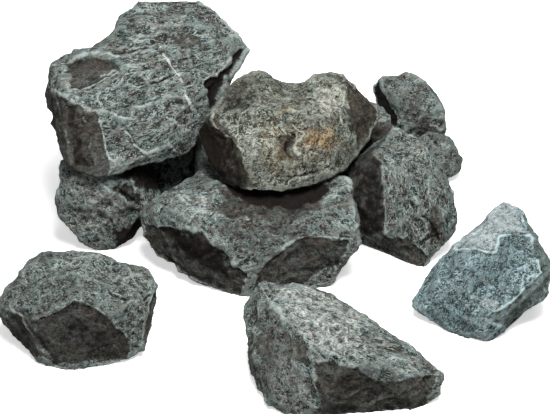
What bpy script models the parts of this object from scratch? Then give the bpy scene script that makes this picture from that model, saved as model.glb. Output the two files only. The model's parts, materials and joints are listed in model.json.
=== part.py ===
"""A heap of broken heater stones: thirteen separate pieces of dark igneous rock, stacked as they lie.

World frame in metres: +X runs along the front of the heap, +Y goes to its back, +Z up, and the
origin is on the ground under the middle of the heap.
"""

import math
import random
from collections import namedtuple

import bmesh
import bpy
from mathutils import Euler, Matrix, Vector, noise
from mathutils.bvhtree import BVHTree

# ---------------------------------------------------------------- driving dimensions (metres)
# Each stone's size is its width, its height up the sketch plane and its depth through it.
LARGE_TOP_STONE_SIZE = (0.150, 0.124, 0.112)
NOTCHED_TOP_STONE_SIZE = (0.130, 0.094, 0.092)
FRONT_BASE_STONE_SIZE = (0.154, 0.088, 0.110)
LEFT_BASE_STONE_SIZE = (0.080, 0.078, 0.080)
UPRIGHT_BASE_STONE_SIZE = (0.080, 0.102, 0.094)
BACK_RIGHT_STONE_SIZE = (0.054, 0.070, 0.084)
SMALL_BACK_STONE_SIZE = (0.058, 0.042, 0.044)
FRONT_LEFT_STONE_SIZE = (0.114, 0.085, 0.100)
FRONT_CENTRE_STONE_SIZE = (0.140, 0.095, 0.100)
FRONT_RIGHT_STONE_SIZE = (0.098, 0.100, 0.098)
REAR_LEFT_BASE_STONE_SIZE = (0.084, 0.078, 0.071)
REAR_MIDDLE_BASE_STONE_SIZE = (0.080, 0.080, 0.060)
REAR_RIGHT_BASE_STONE_SIZE = (0.056, 0.050, 0.058)
FRONT_LEFT_STAND_OFF = 0.064        # how far each loose stone in front lies from the heap
FRONT_CENTRE_STAND_OFF = 0.065
FRONT_RIGHT_STAND_OFF = 0.018

SKETCH_LEAN = 58.0          # degrees that the sketch plane leans back from the ground
BED_CUT = 0.003             # how much of a ground stone's underside is flat
CONTACT_GAP = 0.0004        # space left between stones that touch
LARGEST_EDGE = 0.016        # a longer edge is divided, so that the surface can be uneven
ROUGHNESS_HEIGHT = 0.0012   # how far the broken surface wanders from its flat faces
ROUGHNESS_SPAN = 0.022      # distance between its high places
EDGE_WEAR = 0.15            # share of the way that a corner is drawn to its neighbours
NOTCH_DEPTH = 0.014         # how deep the dip in the notched stone's far edge is
NOTCH_SPAN = 0.030          # how far that dip reaches along the edge

FAR = 0.6                   # a start well outside the heap
BACK_STEP = 0.0002          # step of the last move away from a neighbour
LARGEST_ROCK = 4.0          # degrees that an upper stone may rock while it settles
FINEST_ROCK = 0.25          # degrees of the last rocking step

TENTH = 0.1
HALF = 0.5
FULL = 10                   # a stone's whole half size, in tenths

# A hidden block's corner is knocked off: how much of its edges and of its faces is left beside it.
EDGE_KEPT = (0.45, 0.8)
FACE_KEPT = (0.85, 1.0)
REAR_MIDDLE_BREAK = 8       # each hidden block breaks in its own way
REAR_LEFT_BREAK = 5
REAR_RIGHT_BREAK = 13


def half_widths(first, second):
    """Half of the two stones' widths together: how far apart their middles are, side by side."""
    return (first[0] + second[0]) * HALF


# Where stones come in, across the heap. Each follows the widths of the stones that it clears.
REAR_MIDDLE_X = -0.014
REAR_LEFT_ROOM = 0.008      # room between the two rear stones before they close up
REAR_LEFT_X = (REAR_MIDDLE_X - REAR_LEFT_ROOM
               - half_widths(REAR_MIDDLE_BASE_STONE_SIZE, REAR_LEFT_BASE_STONE_SIZE))
REAR_RIGHT_ROOM = 0.004     # room between the rear middle and the rear right stone
REAR_RIGHT_X = (REAR_MIDDLE_X + REAR_RIGHT_ROOM
                + half_widths(REAR_MIDDLE_BASE_STONE_SIZE, REAR_RIGHT_BASE_STONE_SIZE))
BACK_RIGHT_LAP = 0.015      # how far the back right stone stands behind the rear right one
BACK_RIGHT_X = (REAR_RIGHT_X - BACK_RIGHT_LAP
                + half_widths(REAR_RIGHT_BASE_STONE_SIZE, BACK_RIGHT_STONE_SIZE))
NOTCHED_TOP_X = 0.012
LARGE_TOP_LAP = 0.041       # how far the large stone's width laps over the notched stone's
LARGE_TOP_X = (NOTCHED_TOP_X + LARGE_TOP_LAP
               - half_widths(NOTCHED_TOP_STONE_SIZE, LARGE_TOP_STONE_SIZE))


DARK = (0.045, 0.050, 0.047)
GREEN_GREY = (0.110, 0.125, 0.110)
BROWN = (0.075, 0.062, 0.050)

# A stone's corners are tenths of its half width, half height and half depth, from its middle.
Stone = namedtuple("Stone", "name size lean corners place headings stand_off colour roughness")


# ---------------------------------------------------------------- corners of the stones that are seen
LARGE_TOP_CORNERS = (
    (-9.5, -1, -1.5), (-9, 2.5, -2), (-5, 5.5, -1.5), (-4, 7.5, -2), (-1.5, 9.5, -3), (4, 10, -3.5),
    (7, 8.5, -3.5), (10, 5.5, -4), (8, 3, -6.5), (5.5, -2, -4), (4, -7, 1), (-4.5, -10, 5.5),
    (-7, -9, 3.5), (-8, -5.5, 1.5), (-5, -3, 5), (-7, -0.5, 3.5), (0, 2, 3), (5.5, 1, -0.5),
    (3.5, -1.5, 3.5), (-5, 6, -10), (6, 8, -10), (-6, 2, -13), (4, 2, -13),
)
NOTCHED_TOP_CORNERS = (
    (-4, -10, 4.5), (-0.5, -9.5, 3.5), (2.5, -8.5, 2.5), (6, -5.5, 0), (8.5, -0.5, -3.5),
    (10, 3.5, -5.5), (8, 7, -5), (5.5, 9.5, -5), (3.5, 10, -4), (-3.5, 10, -4.5), (-5, 9, -3.5),
    (-7.5, 6, -1), (-10, -1, -1), (-8.5, -5.5, 0), (-7, -8, 0.5), (-8.5, 1.5, 2),
    (-4.5, -5.5, 5), (1, 1.5, 5), (6, 3, 0.5), (-3, 3, 4), (-3, 7, -12), (6, 7, -12),
    (-3, 3, -14), (6, 4, -14), (7, -3, -6), (-8, -2, -6),
)
FRONT_BASE_CORNERS = (
    (-10, 4.5, -4), (-9, 7, -3), (-5.5, 8.5, -3), (-2.5, 9, -2), (9, 10, -3.5), (9.5, 4, 1),
    (10, 0, 1), (9, -3, -1), (7, -7.5, -2), (-0.5, -9, 0), (-4.5, -6.5, -1), (-8.5, -2, -3.5),
    (-10, 1, -3.5), (-6.5, 4, 1.5), (-4.5, 0, 3), (-0.5, -6, 1), (3, -1.5, 2), (7, 0.5, 2),
    (-6, 3, -15), (8, 3, -15), (-8.5, 5, -9), (-4, 12, -9), (6, 12, -9),
)
LEFT_BASE_CORNERS = (
    (-9, 7.5, 2), (-9.5, 2, 3), (-9, -3.5, 2), (-6.5, -6, 0.5), (-3, -9, -1), (0, -9.5, -2),
    (2.5, -6.5, -4), (5, -3.5, -4), (9.5, -1, -2.5), (7, -1, 3), (2, 2.5, 6.5), (-3.5, 6, 6),
    (-6.5, 9.5, 1.5), (6, 7, 0), (-7, -2, -13), (7, -2, -13), (6, 10, -4), (-5, 10, -4),
)
UPRIGHT_BASE_CORNERS = (
    (-1, 10, -1.5), (-3.5, 8.5, -1), (-5.5, 6.5, 0), (-9, 5, 0), (-10, 1, 1.5), (-9.5, -3.5, -2),
    (-7.5, -6.5, -4.5), (-4, -7, -2.5), (3.5, -10, 1.5), (9.5, -4.5, 1), (10, -2, 2), (8, 3, 2),
    (5, 6.5, 1.5), (2.5, 9, -0.5), (-4, 4.5, 3), (-3.5, -5, 1), (4.5, 2.5, 4), (5.5, -3, 3.5),
    (4, -7.5, 2), (7, -6.5, 0.5), (-6, -1, -13), (6, -1, -13), (-4, 8, -5), (3, 8, -5.5),
)
BACK_RIGHT_CORNERS = (
    (-10, 7.5, 0), (-7, 9, 0.5), (-0.5, 10, 1.5), (4.5, 8, 2.5), (7, 5, 3.5), (9.5, 0.5, 4),
    (10, -2, 2), (7, -4.5, 0), (-3, -0.5, 2), (1, -2.5, 3.5), (-3.5, 3, 4.5), (-6, -10, 0.5),
    (5, -10, 0), (-6, -3, -11), (7, -3, -11), (7, 3, -6), (-5, 8, -3), (4, 7, -3),
)
SMALL_BACK_CORNERS = (
    (0, 10, 1), (6.5, 8.5, 0.5), (10, 3, -1), (9, -2, -3), (2, -9.5, -2), (-4, -4, -5.5),
    (-5.5, 4, 1.5), (2.5, 1, 3), (-8, -1, -10), (8, 0, -10), (0, 5, -8),
)
FRONT_LEFT_CORNERS = (
    (-10, 1, -2), (-6, 8, -3), (-4.5, 10, -3), (2, 9.5, -1.5), (8.5, 7, -2), (10, 4, -1),
    (9, -2, 0), (8, -6.5, 0), (3.5, -9, 1), (-1.5, -10, 2), (-4, -9, 1), (-8, -4.5, -2),
    (-0.5, 2, 5.5), (-5.5, -1.5, 3.5), (4, -0.5, 6), (-7, 0, -12), (6, 0.5, -12), (-5, 8, -6),
    (6, 7, -6), (-9, -2, -5), (9, -3, -5),
)
FRONT_CENTRE_CORNERS = (
    (-8, 10, -5), (-4.5, 9, -2.5), (-1.5, 8, -3), (2.5, 3, 0), (6, 1, 1), (8.5, -1.5, 2),
    (10, -3.5, 1.5), (9.5, -6.5, 1), (7.5, -8.5, 1.5), (4, -8.5, 1.5), (-1.5, -9.5, 3),
    (-5, -10, 4), (-7.5, -8, 2.5), (-9.5, 1, -1), (-10, 6.5, -3.5), (-3.5, 1.5, 7), (1, -2, 8),
    (6.5, -3.5, 4.5), (-7, 6, 2), (-8, 0, -11), (1, -0.5, -11), (-7, 8, -6), (-1, 7, -6),
    (7.5, -5, -4), (-9, -3, -4),
)
FRONT_RIGHT_CORNERS = (
    (-10, -4.5, -1), (-8, -0.5, -1), (-5, 3, 0), (-1.5, 6.5, -1), (3, 10.5, -2), (6, 9, 0),
    (7.5, 4.5, 1.5), (10, 0.5, 2), (9.5, -2.5, 1.5), (7, -4.5, 0.5), (3.5, -7, 0), (0.5, -10, 3),
    (-3.5, -9, 1.5), (-6.5, -7, -1), (0, -7, 4.5), (8.5, -1, 3.5), (4, -5, 4.5), (-3, 2.5, 3),
    (-6, -1, -11), (6, -1, -11), (5, 5, -6), (-3, 4, -6), (8, -4, -4),
)


def broken_block_corners(seed):
    """Corners of a plain block whose eight corners are each knocked off in their own way."""
    chance = random.Random(seed)
    corners = []
    for side_x in (-1, 1):
        for side_y in (-1, 1):
            for side_z in (-1, 1):
                for axis in range(3):
                    corner = [FULL * side_x, FULL * side_y, FULL * side_z]
                    corner[axis] *= chance.uniform(*EDGE_KEPT)
                    corner[(axis + 1) % 3] *= chance.uniform(*FACE_KEPT)
                    corners.append(tuple(corner))
    return tuple(corners)


# ---------------------------------------------------------------- one stone
def stone_mesh(stone, turned):
    """The stone's solid about its own middle: the block between its corners, worn and uneven."""
    work = bmesh.new()
    half_sizes = [length * HALF for length in stone.size]
    for corner in stone.corners:
        work.verts.new([share * TENTH * half for share, half in zip(corner, half_sizes)])
    hull = bmesh.ops.convex_hull(work, input=work.verts)
    unused = [item for item in hull["geom_interior"] if isinstance(item, bmesh.types.BMVert)]
    bmesh.ops.delete(work, geom=unused, context="VERTS")
    bmesh.ops.rotate(work, verts=work.verts, cent=(0, 0, 0), matrix=turned)
    divide_long_edges(work)
    bmesh.ops.smooth_vert(work, verts=work.verts, factor=EDGE_WEAR,
                          use_axis_x=True, use_axis_y=True, use_axis_z=True)
    return work


def divide_long_edges(work):
    """Divide each edge that is longer than LARGEST_EDGE, until none is left."""
    while True:
        long_edges = [edge for edge in work.edges if edge.calc_length() > LARGEST_EDGE]
        if not long_edges:
            return
        bmesh.ops.subdivide_edges(work, edges=long_edges, cuts=1)
        bmesh.ops.triangulate(work, faces=work.faces)


def roughen(work, seed):
    """Move each point along its normal by a smooth noise."""
    work.normal_update()
    offset = Vector((seed, seed * 2, seed * 3))
    moves = [noise.noise(vert.co / ROUGHNESS_SPAN + offset) * ROUGHNESS_HEIGHT for vert in work.verts]
    for vert, move in zip(work.verts, moves):
        vert.co += vert.normal * move


def cut_bed(work):
    """Cut the underside flat, so that the stone lies on the ground on a face."""
    lowest = min(vert.co.z for vert in work.verts)
    everything = list(work.verts) + list(work.edges) + list(work.faces)
    bmesh.ops.bisect_plane(work, geom=everything, plane_co=(0, 0, lowest + BED_CUT),
                           plane_no=(0, 0, -1), clear_outer=True)
    rim = [edge for edge in work.edges if edge.is_boundary]
    bmesh.ops.edgeloop_fill(work, edges=rim)


def sink_notch(work):
    """Press the dip into the middle of the notched stone's far upper edge."""
    width, height, depth = NOTCHED_TOP_STONE_SIZE
    lean = Matrix.Rotation(math.radians(SKETCH_LEAN), 3, "X")
    deepest = lean @ Vector((0.0, height * HALF, -depth * TENTH))
    inward = lean @ Vector((0.0, -1.0, 0.0))
    for vert in work.verts:
        away = (vert.co - deepest)
        away -= inward * away.dot(inward) * HALF
        share = max(0.0, 1.0 - away.length / NOTCH_SPAN)
        vert.co += inward * NOTCH_DEPTH * share


def material(name, colour, roughness):
    """A plain stone finish."""
    finish = bpy.data.materials.new(name)
    finish.use_nodes = True
    shader = finish.node_tree.nodes["Principled BSDF"]
    shader.inputs["Base Color"].default_value = (*colour, 1.0)
    shader.inputs["Roughness"].default_value = roughness
    shader.inputs["Metallic"].default_value = 0.0
    return finish


def add_stone(stone, seed, collection, on_ground):
    """Make the stone's object, with its origin at its middle."""
    work = stone_mesh(stone, Matrix.Rotation(math.radians(stone.lean), 3, "X"))
    if stone.name == "notched_top_stone":
        sink_notch(work)
    roughen(work, seed)
    if on_ground:
        cut_bed(work)
    bmesh.ops.triangulate(work, faces=work.faces)
    bmesh.ops.recalc_face_normals(work, faces=work.faces)
    mesh = bpy.data.meshes.new(stone.name)
    work.to_mesh(mesh)
    work.free()
    body = bpy.data.objects.new(stone.name, mesh)
    mesh.materials.append(material(stone.name + "_rock", stone.colour, stone.roughness))
    collection.objects.link(body)
    return body


# ---------------------------------------------------------------- laying the stones
def placed_points(body):
    """The stone's points in the heap's frame."""
    place = Matrix.LocRotScale(body.location, body.rotation_euler, None)
    return [place @ vert.co for vert in body.data.vertices]


def tree_of(body, points):
    """A search tree of the stone's faces."""
    return BVHTree.FromPolygons(points, [tuple(face.vertices) for face in body.data.polygons])


def clear_run(body, laid, heading):
    """How far the stone can go along the heading before it meets one that is laid."""
    run = 2 * FAR
    own_points = placed_points(body)
    own_tree = tree_of(body, own_points)
    for points, tree in laid:
        for point in own_points:
            distance = tree.ray_cast(point, heading)[3]
            if distance is not None:
                run = min(run, distance)
        for point in points:
            distance = own_tree.ray_cast(point, -heading)[3]
            if distance is not None:
                run = min(run, distance)
    return run


def touches(body, laid):
    """Whether the stone's surface crosses one that is laid."""
    own_tree = tree_of(body, placed_points(body))
    return any(own_tree.overlap(tree) for _, tree in laid)


def back_off(body, laid, heading):
    """Step back along the heading until the stone is clear, and leave the contact gap."""
    while touches(body, laid):
        body.location -= heading * BACK_STEP
    body.location -= heading * CONTACT_GAP


def slide_in(body, laid, headings, stand_off):
    """Bring a ground stone in from far outside until it meets its neighbours, or stands off."""
    body.location -= headings[0] * FAR
    for heading in headings:
        body.location += heading * clear_run(body, laid, heading)
        back_off(body, laid, heading)
    body.location -= headings[0] * stand_off


def drop(body, laid):
    """Lower an upper stone straight down until it meets what is under it."""
    down = Vector((0, 0, -1))
    body.location.z = FAR
    body.location += down * clear_run(body, laid, down)


def settle(body, laid):
    """Rock the stone in ever smaller steps to where its middle lies lowest, and leave the gap."""
    drop(body, laid)
    best = body.location.z
    best_turn = body.rotation_euler.copy()
    step = LARGEST_ROCK * HALF
    while step >= FINEST_ROCK:
        improved = False
        for rock_x, rock_y in ((step, 0), (-step, 0), (0, step), (0, -step)):
            turn_x = best_turn.x + math.radians(rock_x)
            turn_y = best_turn.y + math.radians(rock_y)
            if max(abs(turn_x), abs(turn_y)) > math.radians(LARGEST_ROCK):
                continue
            body.rotation_euler = Euler((turn_x, turn_y, 0.0))
            drop(body, laid)
            if body.location.z < best:
                best = body.location.z
                best_turn = body.rotation_euler.copy()
                improved = True
        if not improved:
            step *= HALF
    body.rotation_euler = best_turn
    drop(body, laid)
    back_off(body, laid, Vector((0, 0, -1)))


def centre_heap(bodies):
    """Move the whole heap so that its footprint is centred on the origin."""
    points = [point for body in bodies for point in placed_points(body)]
    middle_x = (min(p.x for p in points) + max(p.x for p in points)) * HALF
    middle_y = (min(p.y for p in points) + max(p.y for p in points)) * HALF
    for body in bodies:
        body.location -= Vector((middle_x, middle_y, 0.0))


# Ground stones in the order in which they are laid: the first stays where it is put, and each of
# the others comes in along its headings until it meets those before it, or stands off from them.
GROUND_STONES = (
    Stone("front_base_stone", FRONT_BASE_STONE_SIZE, SKETCH_LEAN, FRONT_BASE_CORNERS,
          (-0.016, -0.098), (), 0.0, GREEN_GREY, 0.85),
    Stone("left_base_stone", LEFT_BASE_STONE_SIZE, SKETCH_LEAN, LEFT_BASE_CORNERS,
          (-0.124, -0.045), ((1.0, 0.0),), 0.0, DARK, 0.85),
    Stone("upright_base_stone", UPRIGHT_BASE_STONE_SIZE, SKETCH_LEAN, UPRIGHT_BASE_CORNERS,
          (0.091, -0.049), ((-1.0, 0.0),), 0.0, GREEN_GREY, 0.8),
    Stone("rear_middle_base_stone", REAR_MIDDLE_BASE_STONE_SIZE, 0.0, broken_block_corners(REAR_MIDDLE_BREAK),
          (REAR_MIDDLE_X, 0.022), ((0.0, -1.0),), 0.0, DARK, 0.9),
    Stone("rear_left_base_stone", REAR_LEFT_BASE_STONE_SIZE, 0.0, broken_block_corners(REAR_LEFT_BREAK),
          (REAR_LEFT_X, 0.035), ((0.0, -1.0), (1.0, 0.0)), 0.0, DARK, 0.9),
    Stone("rear_right_base_stone", REAR_RIGHT_BASE_STONE_SIZE, 0.0, broken_block_corners(REAR_RIGHT_BREAK),
          (REAR_RIGHT_X, 0.038), ((0.0, -1.0),), 0.0, GREEN_GREY, 0.9),
    Stone("back_right_stone", BACK_RIGHT_STONE_SIZE, SKETCH_LEAN, BACK_RIGHT_CORNERS,
          (BACK_RIGHT_X, 0.061), ((0.0, -1.0),), 0.0, GREEN_GREY, 0.85),
    Stone("small_back_stone", SMALL_BACK_STONE_SIZE, SKETCH_LEAN, SMALL_BACK_CORNERS,
          (0.119, 0.030), ((-1.0, 0.0),), 0.0, BROWN, 0.9),
    Stone("front_left_stone", FRONT_LEFT_STONE_SIZE, SKETCH_LEAN, FRONT_LEFT_CORNERS,
          (-0.134, -0.181), ((0.0, 1.0),), FRONT_LEFT_STAND_OFF, BROWN, 0.85),
    Stone("front_centre_stone", FRONT_CENTRE_STONE_SIZE, SKETCH_LEAN, FRONT_CENTRE_CORNERS,
          (0.048, -0.229), ((0.0, 1.0),), FRONT_CENTRE_STAND_OFF, DARK, 0.8),
    Stone("front_right_stone", FRONT_RIGHT_STONE_SIZE, SKETCH_LEAN, FRONT_RIGHT_CORNERS,
          (0.140, -0.131), ((-0.6, 1.0),), FRONT_RIGHT_STAND_OFF, GREEN_GREY, 0.75),
)

# Upper stones, each dropped on those before it.
UPPER_STONES = (
    Stone("notched_top_stone", NOTCHED_TOP_STONE_SIZE, SKETCH_LEAN, NOTCHED_TOP_CORNERS,
          (NOTCHED_TOP_X, -0.039), (), 0.0, GREEN_GREY, 0.85),
    Stone("large_top_stone", LARGE_TOP_STONE_SIZE, SKETCH_LEAN, LARGE_TOP_CORNERS,
          (LARGE_TOP_X, -0.011), (), 0.0, GREEN_GREY, 0.85),
)


def build():
    for leftover in list(bpy.data.objects):
        bpy.data.objects.remove(leftover)
    heap = bpy.data.collections.new("heater_stone_heap")
    bpy.context.scene.collection.children.link(heap)
    bodies = []
    laid = []
    for seed, stone in enumerate(GROUND_STONES):
        body = add_stone(stone, seed, heap, on_ground=True)
        lowest = min(vert.co.z for vert in body.data.vertices)
        body.location = (*stone.place, -lowest)
        if laid:
            headings = [Vector((*heading, 0.0)).normalized() for heading in stone.headings]
            slide_in(body, laid, headings, stone.stand_off)
        points = placed_points(body)
        laid.append((points, tree_of(body, points)))
        bodies.append(body)
    for seed, stone in enumerate(UPPER_STONES, len(GROUND_STONES)):
        body = add_stone(stone, seed, heap, on_ground=False)
        body.location = (*stone.place, FAR)
        settle(body, laid)
        points = placed_points(body)
        laid.append((points, tree_of(body, points)))
        bodies.append(body)
    centre_heap(bodies)


build()
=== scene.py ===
"""A heap of broken heater stones: fractured igneous rock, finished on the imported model's stones."""

import itertools
import json
import math

import bpy
import numpy as np
from bpy.props import FloatProperty, FloatVectorProperty, PointerProperty
from bpy.types import Operator, Panel, PropertyGroup
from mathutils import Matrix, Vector
from mathutils.bvhtree import BVHTree


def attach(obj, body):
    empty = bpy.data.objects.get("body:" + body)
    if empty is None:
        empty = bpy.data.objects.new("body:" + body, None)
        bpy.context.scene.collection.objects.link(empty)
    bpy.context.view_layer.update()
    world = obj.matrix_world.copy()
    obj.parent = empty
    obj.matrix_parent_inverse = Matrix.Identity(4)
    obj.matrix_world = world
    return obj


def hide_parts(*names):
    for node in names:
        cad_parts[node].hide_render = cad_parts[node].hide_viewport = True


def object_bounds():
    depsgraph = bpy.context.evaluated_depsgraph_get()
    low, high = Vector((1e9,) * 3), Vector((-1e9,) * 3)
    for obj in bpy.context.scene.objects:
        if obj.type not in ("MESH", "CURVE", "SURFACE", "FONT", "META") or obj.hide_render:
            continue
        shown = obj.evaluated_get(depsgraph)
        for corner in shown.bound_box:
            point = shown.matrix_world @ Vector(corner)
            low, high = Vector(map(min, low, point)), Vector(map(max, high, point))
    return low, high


bl_info = {
    "name": "Heater stone heap",
    "version": (1, 0, 0),
    "blender": (4, 5, 0),
    "location": "View3D > Sidebar > Stones",
    "description": "Builds a heap of broken heater stones",
    "category": "Object",
}

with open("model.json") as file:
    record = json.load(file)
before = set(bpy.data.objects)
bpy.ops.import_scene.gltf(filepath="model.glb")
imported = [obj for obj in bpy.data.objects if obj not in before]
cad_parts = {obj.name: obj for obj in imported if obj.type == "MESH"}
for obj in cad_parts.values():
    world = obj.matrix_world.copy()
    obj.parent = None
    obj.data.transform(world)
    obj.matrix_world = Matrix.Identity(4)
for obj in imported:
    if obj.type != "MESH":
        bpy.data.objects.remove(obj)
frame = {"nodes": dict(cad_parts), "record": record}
CAD_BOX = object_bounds()
RECORD = frame["record"]

# The sketch view of a stone is square on from the front, this far above the ground.
SKETCH_RISE = math.radians(32.0)
ACROSS = np.array((1.0, 0.0, 0.0))
UP = np.array((0.0, math.sin(SKETCH_RISE), math.cos(SKETCH_RISE)))
TOWARDS = np.array((0.0, -math.cos(SKETCH_RISE), math.sin(SKETCH_RISE)))
TENTHS = 10.0
SKETCH_DRIFT = ((21, 0.015, 0.0020), (23, 0.0045, 0.0009))  # step of the seed, span and size

HASH_STEPS = np.array((73856093, 19349663, 83492791))  # odd factors that spread the cells
SEED_STEP = 2654435
HASH_FACTOR = np.uint64(0xBF58476D1CE4E5B9)
NOISE_GAIN = 1.6  # brings the rolling noise to between about -1 and 1

# Brown marks are stains, and partly painted shade; dark areas are painted shade and shadow, dark lines
# cracks.
COLOUR_MARKS = ("brown", "ochre", "pale", "dark", "line")
LINE_BREAKS = 380.0  # scale of the noise that breaks up a thin line
PATCH_BREAKS = 220.0  # scale of the noise that breaks up a patch
AREA_SPAN, AREA_RAGGED = 0.007, 0.0016  # span and size of the waves in an area's edge
LINE_SPAN = 0.010  # how far apart a thin line comes and goes
RELIEF_ROUNDS = {"fine_relief": 2, "broad_relief": 10}  # rounds of smoothing before each

MERGE_DISTANCE = 0.00001
BED_HEIGHT = 0.0025  # the underside of a ground stone stays flat up to this height
MOST_OUTWARD = 0.0025  # the fracture relief stands no prouder of the stone than this
ROOM_SHARE, ROOM_KEPT = 0.4, 0.0001  # the part of a gap that relief may fill, and what stays free
CHIP_LEVELS = (0.5, 0.8, 0.9)  # share of the slope for the large, middle and small chips
CHIP_SHRINK = 0.4  # each size of chip against the one before
CHIP_WARP = 0.15  # how far the chips' borders wander, in spans
PIT_SPANS = (0.0030, 0.0055)
LEVEL_PERCENT = 45  # this percentage of the surface falls in, and the rest stands out

FLOOR_SIZE = 30.0
SENSOR_WIDTH = 36.0  # in millimetres, as the lens is
TARGET_DEPTH = 0.0235  # the camera looks this far behind the origin
TARGET_RISE = 0.256  # and at this share of the height of the heap


# ---- numbers that vary over a stone
def cell_random(cells, seed):
    """Three steady random numbers from 0 to 1 for each lattice cell."""
    whole = cells.astype(np.int64)
    bits = (whole @ HASH_STEPS + seed * SEED_STEP).astype(np.uint64)
    columns = []
    for _ in range(3):
        bits = (bits ^ (bits >> np.uint64(29))) * HASH_FACTOR
        bits = bits ^ (bits >> np.uint64(32))
        columns.append((bits >> np.uint64(11)).astype(float) / 2.0 ** 53)
    return np.stack(columns, axis=1)


def smooth_noise(points, span, seed):
    """Rolling noise between about -1 and 1, whose hills are a span apart."""
    cells = np.floor(points / span)
    inside = points / span - cells
    fade = inside ** 3 * (inside * (inside * 6.0 - 15.0) + 10.0)
    total = np.zeros(len(points))
    for corner in itertools.product((0, 1), repeat=3):
        slope = cell_random(cells + corner, seed) * 2.0 - 1.0
        weight = np.prod(np.where(np.array(corner) == 1, fade, 1.0 - fade), axis=1)
        total += ((inside - corner) * slope).sum(axis=1) * weight
    return total * NOISE_GAIN


def chipped(points, span, slope, seed):
    """Height of a surface that is chipped into flat tilted faces of that span.

    Each face stands at a height of its own and rises steeply past its own reach, and the lowest
    of the faces around a point is the one that shows.
    """
    own_height, reach, steepness = 0.4, 0.7, 6.0
    cells = np.floor(points / span)
    height = np.full(len(points), np.inf)
    for offset in itertools.product((-1, 0, 1), repeat=3):
        around = cells + offset
        chance = cell_random(around, seed)
        away = points - (around + chance) * span
        tilt = (cell_random(around, seed + 1) * 2.0 - 1.0) * slope
        beyond = np.maximum(0.0, np.linalg.norm(away, axis=1) / span - reach)
        raised = (chance[:, 0] * own_height + beyond ** 2 * steepness) * span * slope
        height = np.minimum(height, (away * tilt).sum(axis=1) + raised)
    return height


def smooth_step(low, high, values):
    """0 below low, 1 above high, and a soft rise between."""
    share = np.clip((values - low) / (high - low), 0.0, 1.0)
    return share * share * (3.0 - 2.0 * share)


# ---- a stone while it is shaped
class ShapedStone:
    """One stone's object with its points, normals, sketch coordinates in tenths, stains and painted
    shade.
    """

    def __init__(self, body, seed):
        self.body = body
        self.seed = seed
        self.read()
        self.colour_mark = np.zeros((len(self.points), len(COLOUR_MARKS)))

    def read(self):
        """Take the points and normals from the mesh, and work out where they are in the sketch.

        The sketch coordinates drift a little, so that no mark has a ruled edge.
        """
        mesh = self.body.data
        count = len(mesh.vertices)
        flat = np.empty(count * 3)
        mesh.vertices.foreach_get("co", flat)
        self.points = flat.reshape(-1, 3).copy()
        mesh.vertices.foreach_get("normal", flat)
        self.normals = flat.reshape(-1, 3).copy()
        views = np.stack((self.points @ ACROSS, self.points @ UP), axis=1)
        lowest, highest = views.min(axis=0), views.max(axis=0)
        self.half = (highest - lowest) / 2.0
        drift = [sum(smooth_noise(self.points, span, self.seed + step + column) * size
                     for step, span, size in SKETCH_DRIFT) for column in (0, 1)]
        self.flat_view = views - (lowest + highest) / 2.0 + np.stack(drift, axis=1)
        self.sketch = self.flat_view / self.half * TENTHS
        self.facing = smooth_step(-0.15, 0.25, self.normals @ TOWARDS)

    def write(self):
        """Put the points back in the mesh."""
        self.body.data.vertices.foreach_set("co", self.points.ravel())
        self.body.data.update()

    def sink(self, depths):
        """Move the surface inwards by these depths, but leave the bed flat."""
        lowest = self.points[:, 2].min()
        bed = (self.points[:, 2] < BED_HEIGHT) & (self.normals[:, 2] < -0.3)
        self.points -= self.normals * np.where(bed, 0.0, depths)[:, None]
        self.points[:, 2] = np.maximum(self.points[:, 2], lowest)

    def mark(self, colour_mark, amounts, depths):
        """Bring stains and painted shade up to these amounts, and sink the surface by these depths."""
        if colour_mark:
            column = COLOUR_MARKS.index(colour_mark)
            self.colour_mark[:, column] = np.maximum(self.colour_mark[:, column], amounts)
        self.sink(depths)

    def keep(self, name, values):
        """Keep a value for each point on the mesh, where the material reads it."""
        attribute = self.body.data.attributes.new(name, "FLOAT", "POINT")
        attribute.data.foreach_set("value", values.astype(np.float32))

    def line_distance(self, path):
        """Distance in the sketch plane, in metres, from a path given in tenths."""
        corners = np.array(path, float) / TENTHS * self.half
        nearest = np.full(len(self.points), np.inf)
        for start, end in zip(corners[:-1], corners[1:]):
            along = end - start
            share = ((self.flat_view - start) @ along / (along @ along)).clip(0.0, 1.0)
            foot = start + share[:, None] * along
            nearest = np.minimum(nearest, np.linalg.norm(self.flat_view - foot, axis=1))
        return nearest

    def area_depth(self, outline):
        """How far inside the outline a point is, in metres, and negative outside it."""
        inside = np.zeros(len(self.points), bool)
        x, y = self.sketch[:, 0], self.sketch[:, 1]
        closed = list(outline) + [outline[0]]
        for (x1, y1), (x2, y2) in zip(closed[:-1], closed[1:]):
            if y1 == y2:
                continue
            crosses = (y1 > y) != (y2 > y)
            inside ^= crosses & (x < (x2 - x1) * (y - y1) / (y2 - y1) + x1)
        distance = self.line_distance(closed)
        return np.where(inside, distance, -distance)


def select_only(body):
    """Select this object alone, and make it the active one."""
    bpy.ops.object.select_all(action="DESELECT")
    body.select_set(True)
    bpy.context.view_layer.objects.active = body


def apply_modifier(body, kind, **settings):
    """Add a modifier with these settings and apply it."""
    modifier = body.modifiers.new(kind.lower(), kind)
    for name, value in settings.items():
        setattr(modifier, name, value)
    select_only(body)
    bpy.ops.object.modifier_apply(modifier=modifier.name)


def fine_copy(node, grain):
    """A merged copy of a packed stone, on an even fine mesh."""
    mesh = frame["nodes"][node].data.copy()
    mesh.materials.clear()
    body = bpy.data.objects.new(node.replace("_stone", "_rock"), mesh)
    mesh.name = body.name
    bpy.context.scene.collection.objects.link(body)
    select_only(body)
    bpy.ops.object.mode_set(mode="EDIT")
    bpy.ops.mesh.select_all(action="SELECT")
    bpy.ops.mesh.remove_doubles(threshold=MERGE_DISTANCE)
    bpy.ops.object.mode_set(mode="OBJECT")
    apply_modifier(body, "REMESH", mode="VOXEL", voxel_size=grain, adaptivity=0.0)
    return body


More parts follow.
